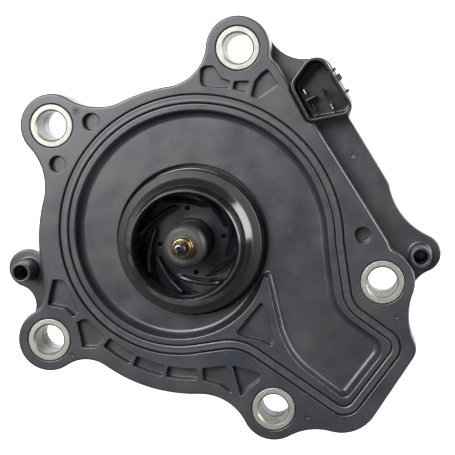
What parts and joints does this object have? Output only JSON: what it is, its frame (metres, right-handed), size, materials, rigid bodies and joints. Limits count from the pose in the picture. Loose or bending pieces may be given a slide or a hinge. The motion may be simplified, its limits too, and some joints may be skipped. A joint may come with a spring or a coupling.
{
  "type": "water pump",
  "caption": "Electric engine coolant pump with an open spiral volute, a closed bladed impeller, a gasketed bolt-on flange and a sealed plug socket.",
  "frame": {"origin": "middle of the rear rest face, on the shaft axis", "axes": "+Z along the shaft from the rear rest face to the impeller nose, +X towards the right-hand side lug, +Y towards the top bolt lobe"},
  "size_m": [0.1412, 0.1349, 0.0865],
  "materials": {
    "black_plastic": "fine moulded grain, satin",
    "gloss_plastic": "smooth, glossy",
    "zinc": "zinc plated, satin",
    "rubber": "matte",
    "cast_aluminium": "as cast, matte",
    "steel": "ground",
    "brass": "machined",
    "copper": "enamelled wire",
    "carbon": "matte, warm grey",
    "magnet": "matte",
    "board": "lacquered"
  },
  "bodies": {
    "housing": {"bolt_sleeve_1": "zinc", "bolt_sleeve_2": "zinc", "bolt_sleeve_3": "zinc", "bolt_sleeve_4": "zinc", "bolt_sleeve_5": "zinc", "can_seal": "rubber", "capacitor_1": "cast_aluminium", "capacitor_2": "cast_aluminium", "capacitor_3": "cast_aluminium", "connector_housing": "black_plastic", "controller_board": "board", "cover_screw_1": "zinc", "cover_screw_2": "zinc", "cover_screw_3": "zinc", "cover_screw_4": "zinc", "cover_screw_5": "zinc", "cover_screw_6": "zinc", "cover_seal": "rubber", "front_housing": "black_plastic", "front_insulator": "black_plastic", "housing_screw_1": "zinc", "housing_screw_2": "zinc", "housing_screw_3": "zinc", "housing_screw_4": "zinc", "housing_screw_5": "zinc", "motor_case": "cast_aluminium", "mounting_gasket": "rubber", "power_transistor_1": "magnet", "power_transistor_2": "magnet", "power_transistor_3": "magnet", "power_transistor_4": "magnet", "power_transistor_5": "magnet", "power_transistor_6": "magnet", "rear_cover": "cast_aluminium", "rear_insulator": "black_plastic", "rotor_can": "black_plastic", "shaft": "steel", "shaft_nut": "brass", "stator_coil_1": "copper", "stator_coil_2": "copper", "stator_coil_3": "copper", "stator_coil_4": "copper", "stator_coil_5": "copper", "stator_coil_6": "copper", "stator_coil_7": "copper", "stator_coil_8": "copper", "stator_coil_9": "copper", "stator_core": "steel", "terminal_1": "steel", "terminal_2": "brass", "terminal_3": "brass", "terminal_4": "steel", "thrust_washer": "carbon"},
    "impeller": {"front_bush": "carbon", "impeller_base": "black_plastic", "impeller_shroud": "gloss_plastic", "rear_bush": "carbon", "rotor_core": "steel", "rotor_magnet": "magnet", "rotor_sleeve": "carbon"}
  },
  "joints": [
    {"name": "impeller_spin", "type": "hinge", "parent": "housing", "child": "impeller", "pos_m": [0, 0, 0.06], "axis": [0, 0, 1], "continuous": true}
  ]
}
